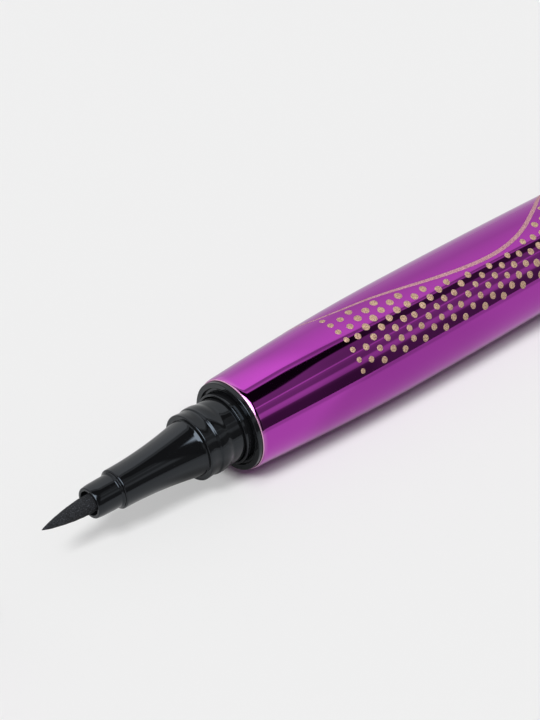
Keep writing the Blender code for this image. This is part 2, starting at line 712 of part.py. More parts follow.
# What moves, and how far: the cap on to the barrel, the cup back in the cap, the ball along the tank
travels = {"cap": CAP_DRAW - CAP_SEAT_GAP, "seal_cup": SEAL_TRAVEL, "mixing_ball": BALL_REAR - BALL_FRONT}
for piece, travel in travels.items():
    print(f"{piece}: travel {travel / MM:.2f} mm")
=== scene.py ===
"""The looks of a felt-tip liquid eyeliner, lying uncapped on a pale sheet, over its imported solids.

The pen lies along X in metres, its nib towards -X, the centre of its flat tail face at the origin, +Z up.
Almost every piece is turned about that line, and sizes are in millimetres. A turned piece is drawn as
corners (station, radius, fillet). A station of the pen is measured from the plane of the barrel's mouth
towards the tail, and a station of the cap from the cap's mouth towards its closed end.
"""

from math import cos, pi, radians, sin, sqrt, tan, tau

import bmesh
import bpy
from mathutils import Matrix, Vector, noise


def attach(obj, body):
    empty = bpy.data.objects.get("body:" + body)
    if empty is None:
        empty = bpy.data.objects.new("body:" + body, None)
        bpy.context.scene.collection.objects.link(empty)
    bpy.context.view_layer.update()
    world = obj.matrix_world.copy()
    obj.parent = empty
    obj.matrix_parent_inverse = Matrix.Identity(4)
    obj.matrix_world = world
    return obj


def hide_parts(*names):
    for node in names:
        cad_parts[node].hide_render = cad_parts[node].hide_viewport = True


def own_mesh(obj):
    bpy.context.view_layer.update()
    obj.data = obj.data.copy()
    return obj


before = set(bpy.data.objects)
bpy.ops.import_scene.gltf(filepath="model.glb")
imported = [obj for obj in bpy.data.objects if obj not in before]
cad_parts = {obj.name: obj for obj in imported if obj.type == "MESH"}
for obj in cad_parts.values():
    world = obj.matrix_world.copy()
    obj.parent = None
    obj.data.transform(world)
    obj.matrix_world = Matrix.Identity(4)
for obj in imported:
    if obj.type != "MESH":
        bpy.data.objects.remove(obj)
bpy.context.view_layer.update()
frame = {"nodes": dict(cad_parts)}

# ---------------------------------------------------------------------------------------------------------
# Barrel shell: one plastic moulding, a slim spindle with a softly rolled lip, vacuum-metallised and
# lacquered in clear purple. It is turned from the mouth to the rounded edge of the tail, and hollow.
MM = 0.001
BARREL_LENGTH = 90.0
MOUTH_RADIUS = 5.0
BELLY_RISE = 0.93
BELLY_START = 23.5
BELLY_END = 25.5
TAIL_RADIUS = 4.5
TAIL_FILLET = 0.6
TAIL_BORE = 3.6
SHELL_BORE = 4.15
SHELL_BORE_END = 80.0
LIP_BORE = 4.86
LIP_DEPTH = 0.9
LIP_DROPS = [
    (0.9, 0), (0.6, 0.0008), (0.45, 0.004), (0.33, 0.011), (0.24, 0.0215), (0.17, 0.034), (0.11, 0.05), (0.05, 0.074),
]  # fmt: skip
LIP_EDGE_DROP = 0.1
BARREL_PURPLE = (0.52, 0.075, 0.51)
BARREL_PURPLE_DEEP = (0.47, 0.06, 0.48)
# The pale pink edge line is partly rubbed-off coat and partly painted highlight. The tint behind it, up to 0.6 mm
# from the edge, is painted highlight that whitens the lip's glint.
RIM_PINK = (0.75, 0.42, 0.62)
RIM_WEAR_AND_HIGHLIGHT = 0.1
GLINT_TINT_START, GLINT_TINT_END, GLINT_TINT_SHARE = 0.1, 0.6, 0.2
TURN_STEPS = 160
FILLET_STEPS = 6
FILLET_SIDE_SHARE = 0.48
SUPPORT = 0.03
POINT_RADIUS = 0.003
SHARP_ANGLE = radians(32)


def swell(station):
    """The barrel's outer radius at a station, before its lip is rolled in."""
    if station < BELLY_START:
        return MOUTH_RADIUS + BELLY_RISE * sin(pi / 2 * station / BELLY_START)
    if station <= BELLY_END:
        return MOUTH_RADIUS + BELLY_RISE
    fall = (station - BELLY_END) / (BARREL_LENGTH - BELLY_END)
    return TAIL_RADIUS + (MOUTH_RADIUS + BELLY_RISE - TAIL_RADIUS) * cos(pi / 2 * fall)


def spread(start, end, count):
    """Count evenly spaced numbers from start to end, with both of them."""
    return [start + (end - start) * i / (count - 1) for i in range(count)]


def eased(points, times):
    """A smoother run of points: each corner is cut at a quarter and three quarters of its sides."""
    for _ in range(times):
        cut = [points[0]]
        for (a, b), (c, d) in zip(points, points[1:]):
            cut += [(a * 0.75 + c * 0.25, b * 0.75 + d * 0.25), (a * 0.25 + c * 0.75, b * 0.25 + d * 0.75)]
        points = [*cut, points[-1]]
    return points


def rolled_lip(outline):
    """The lip's roll as corners from its start to its small front edge. It starts softly and ends blunt."""
    corners = [(station, outline(station) - drop, 0) for station, drop in eased(LIP_DROPS, 2)]
    return [*corners, (0, outline(0) - LIP_EDGE_DROP, 0.035)]


def filleted(corners):
    """The corners (station, radius, fillet) as points (station, radius), each fillet as an arc between two
    support points that keep its shading off the long faces beside it."""
    points = []
    for i, (station, radius, fillet) in enumerate(corners):
        here = Vector((station, radius))
        if not fillet:
            points.append(here)
            continue
        to_before = Vector(corners[i - 1][:2]) - here
        to_after = Vector(corners[(i + 1) % len(corners)][:2]) - here
        half = to_before.angle(to_after) / 2
        reach = min(fillet / tan(half), min(to_before.length, to_after.length) * FILLET_SIDE_SHARE)
        before, after = to_before.normalized(), to_after.normalized()
        if to_before.length > reach + SUPPORT * 2:
            points.append(here + before * (reach + SUPPORT))
        centre = here + (before + after).normalized() * reach / cos(half)
        start, end = here + before * reach - centre, here + after * reach - centre
        for step in range(FILLET_STEPS + 1):
            share = step / FILLET_STEPS
            turn = start.angle(end)
            arc = start * sin(turn * (1 - share)) / sin(turn) + end * sin(turn * share) / sin(turn)
            points.append(centre + arc)
        if to_after.length > reach + SUPPORT * 2:
            points.append(here + after * (reach + SUPPORT))
    return points


def turned(name, corners, zero, way, steps=TURN_STEPS):
    """A turned piece as a new object. Station 0 lies at x = zero, and stations grow along way, +1 or -1."""
    mesh = bmesh.new()
    rings = []
    for station, radius in filleted(corners):
        x = (zero + way * station) * MM
        if radius < POINT_RADIUS:
            rings.append([mesh.verts.new((x, 0, 0))])
        else:
            angles = spread(0, tau, steps + 1)[:-1]
            rings.append([mesh.verts.new((x, radius * MM * cos(a), radius * MM * sin(a))) for a in angles])
    closed = min(len(ring) for ring in rings) > 1
    for ring, following in zip(rings, rings[1:] + rings[:1] if closed else rings[1:]):
        for i in range(steps):
            j = (i + 1) % steps
            corner_verts = [ring[i % len(ring)], ring[j % len(ring)], following[j % len(following)]]
            corner_verts.append(following[i % len(following)])
            mesh.faces.new(dict.fromkeys(corner_verts))
    bmesh.ops.recalc_face_normals(mesh, faces=mesh.faces)
    data = bpy.data.meshes.new(name)
    mesh.to_mesh(data)
    mesh.free()
    data.shade_smooth()
    data.set_sharp_from_angle(angle=SHARP_ANGLE)
    piece = bpy.data.objects.new(name, data)
    bpy.context.scene.collection.objects.link(piece)
    return piece


class Wire:
    """An output of a node that can stand in a Python expression: each operation adds its Math node."""

    def __init__(self, nodes, socket):
        self.nodes, self.socket = nodes, socket

    def maths(self, operation, first, second):
        return self.nodes.node("Math", {"operation": operation}, {0: first, 1: second})

    def __add__(self, other):
        return self.maths("ADD", self, other)

    def __radd__(self, other):
        return self.maths("ADD", other, self)

    def __sub__(self, other):
        return self.maths("SUBTRACT", self, other)

    def __rsub__(self, other):
        return self.maths("SUBTRACT", other, self)

    def __abs__(self):
        return self.nodes.node("Math", {"operation": "ABSOLUTE"}, {0: self})

    def at_least(self, other):
        return self.maths("MAXIMUM", self, other)

    def at_most(self, other):
        return self.maths("MINIMUM", self, other)

    def __mul__(self, other):
        return self.maths("MULTIPLY", self, other)

    def __rmul__(self, other):
        return self.maths("MULTIPLY", other, self)


class Nodes:
    """The node tree of a material or of the world, and the ways to add to it."""

    def __init__(self, owner):
        owner.use_nodes = True
        self.owner, self.tree = owner, owner.node_tree

    def node(self, kind, settings=None, inputs=None, output=0):
        """Add a node of a kind, with its settings, then its sockets' values or links. Returns an output."""
        made = self.tree.nodes.new("ShaderNode" + kind)
        for name, value in (settings or {}).items():
            if name == "stops":
                ramp = made.color_ramp.elements
                while len(ramp) < len(value):
                    ramp.new(1)
                for stop, (place, shade) in zip(ramp, value):
                    stop.position = place
                    stop.color = (shade, shade, shade, 1)
            else:
                setattr(made, name, value)
        for key, value in (inputs or {}).items():
            self.feed(made.inputs[key], value)
        return Wire(self, made.outputs[output])

    def feed(self, socket, value):
        """Link a wire to a socket, or set the socket to a number or a colour."""
        if isinstance(value, Wire):
            self.tree.links.new(value.socket, socket)
        elif isinstance(value, tuple) and len(value) == 3 and len(socket.default_value) == 4:
            socket.default_value = (*value, 1)
        else:
            socket.default_value = value

    def place(self, axis):
        """The place on the piece along X, Y or Z, in metres."""
        return self.node("SeparateXYZ", None, {0: self.node("TexCoord", output="Object")}, axis)

    def smooth(self, value, low, high):
        """0 below low and 1 above high, with a smooth step between."""
        return self.node("MapRange", {"interpolation_type": "SMOOTHSTEP"}, {0: value, 1: low, 2: high})

    def grain(self, size, detail=2.0, stretch=(1, 1, 1)):
        """Noise from 0 to 1 in the piece's own space, with grains of a size in millimetres."""
        place = self.node("TexCoord", output="Object")
        scales = tuple(1 / (size * MM * share) for share in stretch)
        scaled = self.node("VectorMath", {"operation": "MULTIPLY"}, {0: place, 1: scales})
        return self.node("TexNoise", None, {"Vector": scaled, "Scale": 1.0, "Detail": detail})

    def tint(self, share, first, second):
        """A colour from first, at 0, to second, at 1."""
        return self.node("Mix", {"data_type": "RGBA"}, {0: share, 6: first, 7: second}, 2)

    def relief(self, height, depth):
        """A bumped normal, with a full height of depth millimetres."""
        return self.node("Bump", None, {"Height": height, "Distance": depth * MM})

    def dress(self, piece, constants, **varied):
        """Set the Principled shader's constants and links, and put the material on a piece."""
        shader = self.tree.nodes["Principled BSDF"]
        for name, value in {**constants, **varied}.items():
            self.feed(shader.inputs[name.replace("_", " ")], value)
        piece.data.materials.clear()
        piece.data.materials.append(self.owner)
        return self


def metallised(name, piece, rim, way):
    """The mirror coat under purple lacquer: a hint of cloud in the colour and the faint sway of a moulding.
    Towards the mouth its colour is tinted paler, a painted highlight that whitens the lip's glint. On the
    edge a fine pale pink line is partly the pale plastic where the coat is rubbed off and partly painted
    highlight.
    The edge lies at x = rim millimetres, and the piece lies along way from there, +1 or -1."""
    coat = Nodes(bpy.data.materials.new(name))
    cloud = coat.grain(5.0, stretch=(3, 1, 1))
    sway = coat.grain(2.6, detail=1.0, stretch=(2.5, 1, 1))
    station = coat.place(0) * (way / MM) - way * rim
    # Painted highlight: a pale line on the edge, partly rubbed-off coat, and a paler tint up to 0.6 mm behind it that
    # whitens the lip's glint.
    edge_wear_and_highlight = 1 - coat.smooth(station, RIM_WEAR_AND_HIGHLIGHT * 0.6, RIM_WEAR_AND_HIGHLIGHT)
    painted_glint = (1 - coat.smooth(station, GLINT_TINT_START, GLINT_TINT_END)) * GLINT_TINT_SHARE
    purple = coat.tint(cloud, BARREL_PURPLE, BARREL_PURPLE_DEEP)
    return coat.dress(
        piece,
        {},
        Base_Color=coat.tint(edge_wear_and_highlight.at_least(painted_glint), purple, RIM_PINK),
        Metallic=1 - edge_wear_and_highlight * 0.6,
        Roughness=0.035 + cloud * 0.025 + edge_wear_and_highlight * 0.2,
        Normal=coat.relief(sway, 0.003),
    )


barrel = turned(
    "barrel",
    [
        (BARREL_LENGTH, TAIL_BORE, 0.08),
        (BARREL_LENGTH, TAIL_RADIUS, TAIL_FILLET),
        *((s, swell(s), 0) for s in spread(BARREL_LENGTH - 2, BELLY_END, 60)),
        *((s, swell(s), 0) for s in spread(BELLY_START, LIP_DEPTH + 0.3, 24)),
        *rolled_lip(swell),
        (0, LIP_BORE, 0),
        (LIP_DEPTH, LIP_BORE, 0),
        (LIP_DEPTH, SHELL_BORE, 0),
        (SHELL_BORE_END, SHELL_BORE, 0),
        (SHELL_BORE_END, TAIL_BORE, 0),
    ],
    -BARREL_LENGTH,
    1,
)
metallised("barrel_purple", barrel, -BARREL_LENGTH, 1)
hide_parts("barrel_shell")
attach(barrel, "pen")

# ---------------------------------------------------------------------------------------------------------
# Print on the barrel: matte metallic ink. A slim rose line swings round the spindle, and a field of gold
# dots in alternating columns hangs from it and winds over the top to the far side.
INK_HEIGHT = 0.012
LINE_CORNERS = [
    (9.5, 12), (11, 42), (13.0, 66), (20, 85), (28, 103), (35, 110), (40, 103), (44.5, 82), (49, 52),
    (56, 22), (64, 8), (71, 14), (77, 34),
]  # fmt: skip
FIELD_CORNERS = [(13.0, 151), (38, 154), (48, 150), (56, 126), (64, 92), (71, 62), (77, 44)]
FIELD_GAP = 0.95
DOT_COLUMN = 1.45
DOT_ROW = 1.28
DOT_RADIUS, DOT_TOP_SHARE = 0.39, 0.86
DOT_UNEVEN, DOT_SHIFT = 0.025, 0.05
DOT_SIDES = 24
LINE_WIDTH = 0.46
LINE_END_SHARE = 0.22
LINE_STEPS = 240
SLOPE_STEP = 0.1


def angle_at(corners, station):
    """An angle in degrees read off a smooth curve through (station, angle) corners."""
    last = len(corners) - 2
    at = min(max(sum(station >= c[0] for c in corners) - 1, 0), last)
    before, first, second, after = (corners[min(max(at + k, 0), last + 1)] for k in (-1, 0, 1, 2))
    width = second[0] - first[0]
    t = min(max((station - first[0]) / width, 0), 1)
    rise_first = (second[1] - before[1]) / max(second[0] - before[0], 0.1) * width
    rise_second = (after[1] - first[1]) / max(after[0] - first[0], 0.1) * width
    return (
        (2 * t**3 - 3 * t**2 + 1) * first[1]
        + (t**3 - 2 * t**2 + t) * rise_first
        + (3 * t**2 - 2 * t**3) * second[1]
        + (t**3 - t**2) * rise_second
    )


def on_barrel(station, angle, height):
    """A point a height above the barrel, at an angle in radians from +Y over +Z."""
    radius = (swell(station) + height) * MM
    return Vector(((station - BARREL_LENGTH) * MM, radius * cos(angle), radius * sin(angle)))


def laid_on(name, shape, dull, bright):
    """The ink shape as an object on the barrel, in a metallic ink of flakes from dull to bright."""
    bmesh.ops.recalc_face_normals(shape, faces=shape.faces)
    for face in shape.faces:
        outward = face.calc_center_median()
        if face.normal.dot(Vector((0, outward.y, outward.z))) < 0:
            face.normal_flip()
    data = bpy.data.meshes.new(name)
    shape.to_mesh(data)
    shape.free()
    data.shade_smooth()
    printed = bpy.data.objects.new(name, data)
    bpy.context.scene.collection.objects.link(printed)
    ink = Nodes(bpy.data.materials.new(name + "_ink"))
    flake = ink.grain(0.11, detail=3.0)
    ink.dress(
        printed,
        {"Metallic": 0.35},
        Base_Color=ink.tint(ink.smooth(flake, 0.35, 0.65), dull, bright),
        Roughness=0.42 + ink.grain(0.5) * 0.2,
        Normal=ink.relief(flake, 0.012),
    )
    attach(printed, "pen")


dots = bmesh.new()
columns = int((FIELD_CORNERS[-1][0] - FIELD_CORNERS[0][0]) / DOT_COLUMN)
for column in range(columns):
    station = FIELD_CORNERS[0][0] + 0.5 + column * DOT_COLUMN
    reach = swell(station)
    top = radians(angle_at(LINE_CORNERS, station)) + FIELD_GAP / reach
    bottom = radians(angle_at(FIELD_CORNERS, station))
    rows = max(1, round((bottom - top) * reach / DOT_ROW))
    step = (bottom - top) / rows
    for row in range(rows + 1 - column % 2):
        middle = top + step * (row + column % 2 / 2)
        # Sines of the row and the column make each dot a little unlike the next, and both ends smaller.
        size = DOT_RADIUS + 0.035 * sin(0.9 * row + 0.31 * column) + 0.015 * sin(2.3 * column + 1.7 * row)
        size *= min(1.0, 0.8 + 0.1 * column, 0.5 + 0.12 * (columns - column))
        shift = DOT_SHIFT * sin(5.1 * column + 2.9 * row)
        rings = []
        for share, height in ((1.0, 0.0), (DOT_TOP_SHARE, INK_HEIGHT)):
            ring = []
            for side in range(DOT_SIDES):
                a = tau * side / DOT_SIDES
                uneven = size * share * (1 + DOT_UNEVEN * sin(3 * a + column + 2 * row))
                place = (station + shift + uneven * cos(a), middle + uneven * sin(a) / reach, height)
                ring.append(dots.verts.new(on_barrel(*place)))
            rings.append(ring)
        crown = dots.verts.new(on_barrel(station + shift, middle, INK_HEIGHT * 1.2))
        for side in range(DOT_SIDES):
            after = (side + 1) % DOT_SIDES
            dots.faces.new((rings[0][side], rings[0][after], rings[1][after], rings[1][side]))
            dots.faces.new((rings[1][side], rings[1][after], crown))
laid_on("barrel_dots", dots, (0.3, 0.17, 0.12), (0.72, 0.5, 0.34))

line = bmesh.new()
line_stations = spread(LINE_CORNERS[0][0], LINE_CORNERS[-1][0], LINE_STEPS)
line_rows = []
for count, station in enumerate(line_stations):
    share = count / (len(line_stations) - 1)
    angle = radians(angle_at(LINE_CORNERS, station))
    next_angle = radians(angle_at(LINE_CORNERS, station + SLOPE_STEP))
    slope = (next_angle - angle) * swell(station) / SLOPE_STEP
    run = sqrt(1 + slope**2)
    half = LINE_WIDTH / 2 * (LINE_END_SHARE + (1 - LINE_END_SHARE) * sin(pi * share) ** 0.6)
    row = []
    for across, height in ((-1, 0), (-0.75, INK_HEIGHT), (0.75, INK_HEIGHT), (1, 0)):
        place = (station - across * half * slope / run, angle + across * half / run / swell(station), height)
        row.append(line.verts.new(on_barrel(*place)))
    line_rows.append(row)
for row, following in zip(line_rows, line_rows[1:]):
    for i in range(3):
        line.faces.new((row[i], row[i + 1], following[i + 1], following[i]))
laid_on("barrel_line", line, (0.38, 0.15, 0.2), (0.68, 0.38, 0.42))

# ---------------------------------------------------------------------------------------------------------
# Collar: a glossy black ring pushed into the barrel's mouth. Its face stands a little ahead of the lip,
# with a flat outer ring, a groove, and a raised root ring that grips the front section.
COLLAR_REAR, COLLAR_BORE, COLLAR_RADIUS = 6.9, 3.6, 4.05
HEAD_REAR, HEAD_FRONT = 0.7, -0.5
HEAD_REAR_RADIUS, HEAD_RADIUS, HEAD_INNER = 4.76, 4.82, 4.24
GROOVE_FLOOR, GROOVE_INNER, GROOVE_OUTER = -0.2, 3.9, 4.16
ROOT_FRONT, ROOT_RADIUS = -1.17, 3.83
collar = turned(
    "collar",
    [
        (COLLAR_REAR, COLLAR_BORE, 0),
        (COLLAR_REAR, COLLAR_RADIUS, 0),
        (HEAD_REAR, COLLAR_RADIUS, 0),
        (HEAD_REAR, HEAD_REAR_RADIUS, 0),
        (0, HEAD_RADIUS, 0),
        (HEAD_FRONT, HEAD_RADIUS, 0.09),
        (HEAD_FRONT, HEAD_INNER, 0.05),
        (GROOVE_FLOOR, GROOVE_OUTER, 0.05),
        (GROOVE_FLOOR, GROOVE_INNER, 0.05),
        (ROOT_FRONT, ROOT_RADIUS, 0.08),
        (ROOT_FRONT, COLLAR_BORE, 0.03),
    ],
    -BARREL_LENGTH,
    1,
)


def glossy_black(name, piece, gloss=0.03, sway_depth=0.004):
    """Black plastic from a polished mould: faint flow in its gloss and the sway of a thin wall."""
    plastic = Nodes(bpy.data.materials.new(name))
    flow = plastic.grain(1.4, stretch=(2, 1, 1))
    fine = plastic.grain(0.12, detail=3.0)
    sway = plastic.grain(2.2, detail=1.0)
    return plastic.dress(
        piece,
        {"IOR": 1.5, "Specular Tint": (0.82, 0.9, 1.0)},
        Base_Color=plastic.tint(flow, (0.0048, 0.005, 0.0056), (0.0064, 0.0068, 0.0076)),
        Roughness=gloss + flow * 0.04 + fine * 0.02,
        Normal=plastic.relief(sway, sway_depth),
    )


glossy_black("collar_black", collar)
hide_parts("mouth_collar")
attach(collar, "pen")

# ---------------------------------------------------------------------------------------------------------
# Front section: a glossy black moulding held by its flange behind the collar. A sleeve with the cap's snap
# bead, a fold and a front band comes first, then a hollow-sided cone down to a small flat shoulder.
FLANGE_REAR, FLANGE_FRONT = 8.0, 7.0
SLEEVE_RADIUS = 3.5
SLEEVE_BORE, SLEEVE_BORE_END = 2.6, -4.6
BAND_FRONT, BAND_RISE = -5.6, 0.07
CONE_FRONT, CONE_REAR = -15.12, -5.5
CONE_FRONT_RADIUS, CONE_REAR_RADIUS = 2.1, 3.08
SOCKET_BORE, SOCKET_END = 1.69, -11.0
NIB_BORE = 1.09
sleeve_rises = [
    (0, 0), (-2.2, 0), (-2.6, -0.02), (-2.8, 0.02), (-3.05, 0.09), (-3.3, 0.13), (-3.6, 0.15), (-3.95, 0.145),
    (-4.07, 0.13), (-4.15, 0.07), (-4.23, 0.015), (-4.35, 0), (-4.6, 0), (-4.85, 0.025), (-5.1, 0.055), (-5.35, 0.07),
]  # fmt: skip


def cone(station):
    """The cone's radius, which opens with the square of the way from its front."""
    back = (station - CONE_FRONT) / (CONE_REAR - CONE_FRONT)
    return CONE_FRONT_RADIUS + (CONE_REAR_RADIUS - CONE_FRONT_RADIUS) * back**2


sleeve = eased([(station, SLEEVE_RADIUS + rise) for station, rise in sleeve_rises], 2)
front = turned(
    "front",
    [
        (FLANGE_REAR, SLEEVE_BORE, 0),
        (FLANGE_REAR, COLLAR_RADIUS, 0),
        (FLANGE_FRONT, COLLAR_RADIUS, 0),
        (FLANGE_FRONT, SLEEVE_RADIUS, 0),
        *((station, radius, 0) for station, radius in sleeve),
        (BAND_FRONT, SLEEVE_RADIUS + BAND_RISE, 0.16),
        (BAND_FRONT, CONE_REAR_RADIUS, 0.05),
        *((station, cone(station), 0) for station in spread(CONE_REAR - 0.2, CONE_FRONT + 0.3, 30)),
        (CONE_FRONT, CONE_FRONT_RADIUS, 0.15),
        (CONE_FRONT, SOCKET_BORE, 0),
        (SOCKET_END, SOCKET_BORE, 0),
        (SOCKET_END, NIB_BORE, 0),
        (SLEEVE_BORE_END, NIB_BORE, 0),
        (SLEEVE_BORE_END, SLEEVE_BORE, 0),
    ],
    -BARREL_LENGTH,
    1,
)
glossy_black("front_black", front)
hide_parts("front_section")
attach(front, "pen")

# ---------------------------------------------------------------------------------------------------------
# Nozzle: a short black tube that grips the nib. Its spigot is pressed into the cone up to a small
# shoulder, and its nose is rounded outside and chamfered inside.
SPIGOT_REAR, SPIGOT_RADIUS = -11.1, 1.59
SHOULDER_REAR, SHOULDER_FRONT, SHOULDER_RADIUS = -15.14, -15.24, 1.93
NECK, NECK_RADIUS = -15.42, 1.76
TUBE_MIDDLE, TUBE_SWELL = -16.3, 0.02
NOSE, NOSE_RADIUS, NOSE_RIM = -18.2, 1.735, 1.36
NOSE_LENGTH, NOSE_DROP = 1.1, 0.11
CHAMFER_DEPTH, CHAMFER_END = 0.9, 1.9
nose = [(NOSE + NOSE_LENGTH * (1 - share), NOSE_RADIUS - NOSE_DROP * share**2, 0) for share in spread(0, 0.8, 9)]
nozzle = turned(
    "nozzle_tube",
    [
        (SPIGOT_REAR, NIB_BORE, 0),
        (SPIGOT_REAR, SPIGOT_RADIUS, 0),
        (SHOULDER_REAR, SPIGOT_RADIUS, 0),
        (SHOULDER_REAR, SHOULDER_RADIUS, 0),
        (SHOULDER_FRONT, SHOULDER_RADIUS, 0.04),
        (NECK, NECK_RADIUS, 0.14),
        (TUBE_MIDDLE, NOSE_RADIUS + TUBE_SWELL, 0),
        *nose,
        (NOSE, NOSE_RADIUS - NOSE_DROP, 0.12),
        (NOSE, NOSE_RIM, 0.015),
        (NOSE + 0.03, NOSE_RIM - 0.05, 0.02),
        (NOSE + CHAMFER_DEPTH, NOSE_RIM - 0.12, 0.3),
        (NOSE + CHAMFER_END, NIB_BORE, 0),
    ],
    -BARREL_LENGTH,
    1,
)
glossy_black("nozzle_black", nozzle, gloss=0.05)
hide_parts("nozzle")
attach(nozzle, "pen")

# ---------------------------------------------------------------------------------------------------------
# Nib: a dart of bonded felt fibres, soaked with black ink and ground to a point. Its shank runs back
# through the nozzle to meet the wick.
NIB_TIP, NIB_REAR = -23.9, -10.0
NIB_RADIUS = 0.94
NIB_TAPER = 6.0
NIB_FULLNESS = 0.77
TIP_RADIUS = 0.05
NIB_SAG = 0.05
FRAY, FRAY_SIZE, FINE_FRAY = 0.03, 0.34, 0.5
THIN_STEPS = 96


def dart(from_tip):
    """The nib's radius at a distance from its tip."""
    return max(TIP_RADIUS, NIB_RADIUS * sin(pi / 2 * min(from_tip / NIB_TAPER, 1)) ** NIB_FULLNESS)


nib = turned(
    "nib",
    [
        (NIB_REAR, 0, 0),
        (NIB_REAR, NIB_RADIUS, 0),
        *((NIB_TIP + d, dart(d), 0) for d in spread(NIB_TAPER + 1, 0.06, 110)),
        (NIB_TIP + 0.01, TIP_RADIUS * 0.6, 0),
        (NIB_TIP, 0, 0),
    ],
    -BARREL_LENGTH,
    1,
    THIN_STEPS,
)
for point in nib.data.vertices:
    place = point.co / (FRAY_SIZE * MM)
    frayed = noise.noise(Vector((place.x * 0.6, place.y, place.z))) + FINE_FRAY * noise.noise(place * 2.7)
    across = Vector((0, point.co.y, point.co.z))
    point.co += across * frayed * FRAY * MM / max(across.length, 0.3 * MM) - Vector((0, 0, NIB_SAG * MM))
felt = Nodes(bpy.data.materials.new("inked_felt"))
fibre = felt.grain(0.1, detail=3.0, stretch=(2.2, 1, 1))
fleck = felt.smooth(felt.grain(0.11, detail=1.5), 0.52, 0.68)
felt.dress(
    nib,
    {"Specular IOR Level": 0.25},
    Base_Color=felt.tint(fleck, felt.tint(fibre, (0.004, 0.004, 0.005), (0.03, 0.031, 0.034)), (0.07, 0.074, 0.084)),
    Roughness=0.6 + fibre * 0.3,
    Normal=felt.relief(fibre * 1.2 + fleck * 0.5, 0.1),
)
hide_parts("felt_nib")
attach(nib, "pen")

# ---------------------------------------------------------------------------------------------------------
# Ink parts inside the barrel: the fibre wick, the moulded comb that buffers the ink with its rubber ring,
# the clear tank with its rear plug, and the steel ball. They are hidden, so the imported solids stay.


def plain_moulding(name, piece, pale, dark, roughness, grain_size=0.6, **constants):
    """A plain finish for a small moulding or fibre part, with a little uneven colour and gloss."""
    plastic = Nodes(bpy.data.materials.new(name))
    mottle = plastic.grain(grain_size)
    plastic.dress(
        piece,
        {key.replace("_", " "): value for key, value in constants.items()},
        Base_Color=plastic.tint(mottle, dark, pale),
        Roughness=roughness + mottle * 0.1,
        Normal=plastic.relief(mottle, 0.004),
    )


nodes = frame["nodes"]
plain_moulding("wick_fibre", nodes["ink_wick"], (0.6, 0.58, 0.55), (0.42, 0.4, 0.38), 0.8, 0.08)
plain_moulding("comb_white", nodes["ink_collector"], (0.8, 0.8, 0.78), (0.7, 0.7, 0.67), 0.35)
plain_moulding("ring_rubber", nodes["seal_ring"], (0.035, 0.035, 0.035), (0.02, 0.02, 0.02), 0.6)
plain_moulding("tank_clear", nodes["ink_tank"], (0.82, 0.84, 0.86), (0.76, 0.78, 0.8), 0.08)
plain_moulding("tank_plug_white", nodes["tank_plug"], (0.82, 0.82, 0.82), (0.74, 0.74, 0.74), 0.35)
plain_moulding("ball_steel", nodes["mixing_ball"], (0.66, 0.66, 0.68), (0.55, 0.55, 0.57), 0.12, Metallic=1.0)

# ---------------------------------------------------------------------------------------------------------
# Tail plug: a black plastic cup pressed into the barrel's tail, with its flat head flush with the barrel's
# end and its open side towards the ink tank.
PLUG_RADIUS, PLUG_BORE, PLUG_HEAD = 3.5, 2.7, 1.2
tail_plug = turned(
    "tail_button",
    [
        (BARREL_LENGTH, 0, 0),
        (BARREL_LENGTH, PLUG_RADIUS, 0.08),
        (SHELL_BORE_END, PLUG_RADIUS, 0),
        (SHELL_BORE_END, PLUG_BORE, 0),
        (BARREL_LENGTH - PLUG_HEAD, PLUG_BORE, 0),
        (BARREL_LENGTH - PLUG_HEAD, 0, 0),
    ],
    -BARREL_LENGTH,
    1,
)
glossy_black("tail_black", tail_plug, gloss=0.2)
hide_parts("tail_plug")
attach(tail_plug, "pen")

# ---------------------------------------------------------------------------------------------------------
# Cap shell: moulded and metallised like the barrel, and drawn off along the pen's own line. Its lip goes
# over the collar, and its closed end is flat with a well-rounded edge.
CAP_DRAW = 38.0
CAP_LENGTH = 40.0
CAP_END_RADIUS, CAP_END_FILLET = 4.4, 0.9
CAP_LIP_DEPTH = 0.95
CAP_BORE, CAP_BORE_END = 4.43, 6.6
LONG_BORE, CAP_FLOOR = 3.75, 38.8
CAP_ZERO = -BARREL_LENGTH - CAP_DRAW


def cap_swell(station):
    """The cap's outer radius, which eases in from the mouth to the closed end."""
    return MOUTH_RADIUS - (MOUTH_RADIUS - CAP_END_RADIUS) * sin(pi / 2 * station / CAP_LENGTH)


cap = turned(
    "cap_case",
    [
        (CAP_LENGTH, 0, 0),
        (CAP_LENGTH, CAP_END_RADIUS, CAP_END_FILLET),
        *((s, cap_swell(s), 0) for s in spread(CAP_LENGTH - 2, LIP_DEPTH + 0.3, 30)),
        *rolled_lip(cap_swell),
        (0, LIP_BORE, 0),
        (CAP_LIP_DEPTH, LIP_BORE, 0),
        (CAP_LIP_DEPTH, CAP_BORE, 0),
        (CAP_BORE_END, CAP_BORE, 0),
        (CAP_BORE_END, LONG_BORE, 0),
        (CAP_FLOOR, LONG_BORE, 0),
        (CAP_FLOOR, 0, 0),
    ],
    CAP_ZERO,
    -1,
)
metallised("cap_purple", cap, CAP_ZERO, -1)
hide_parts("cap_shell")
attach(cap, "cap")

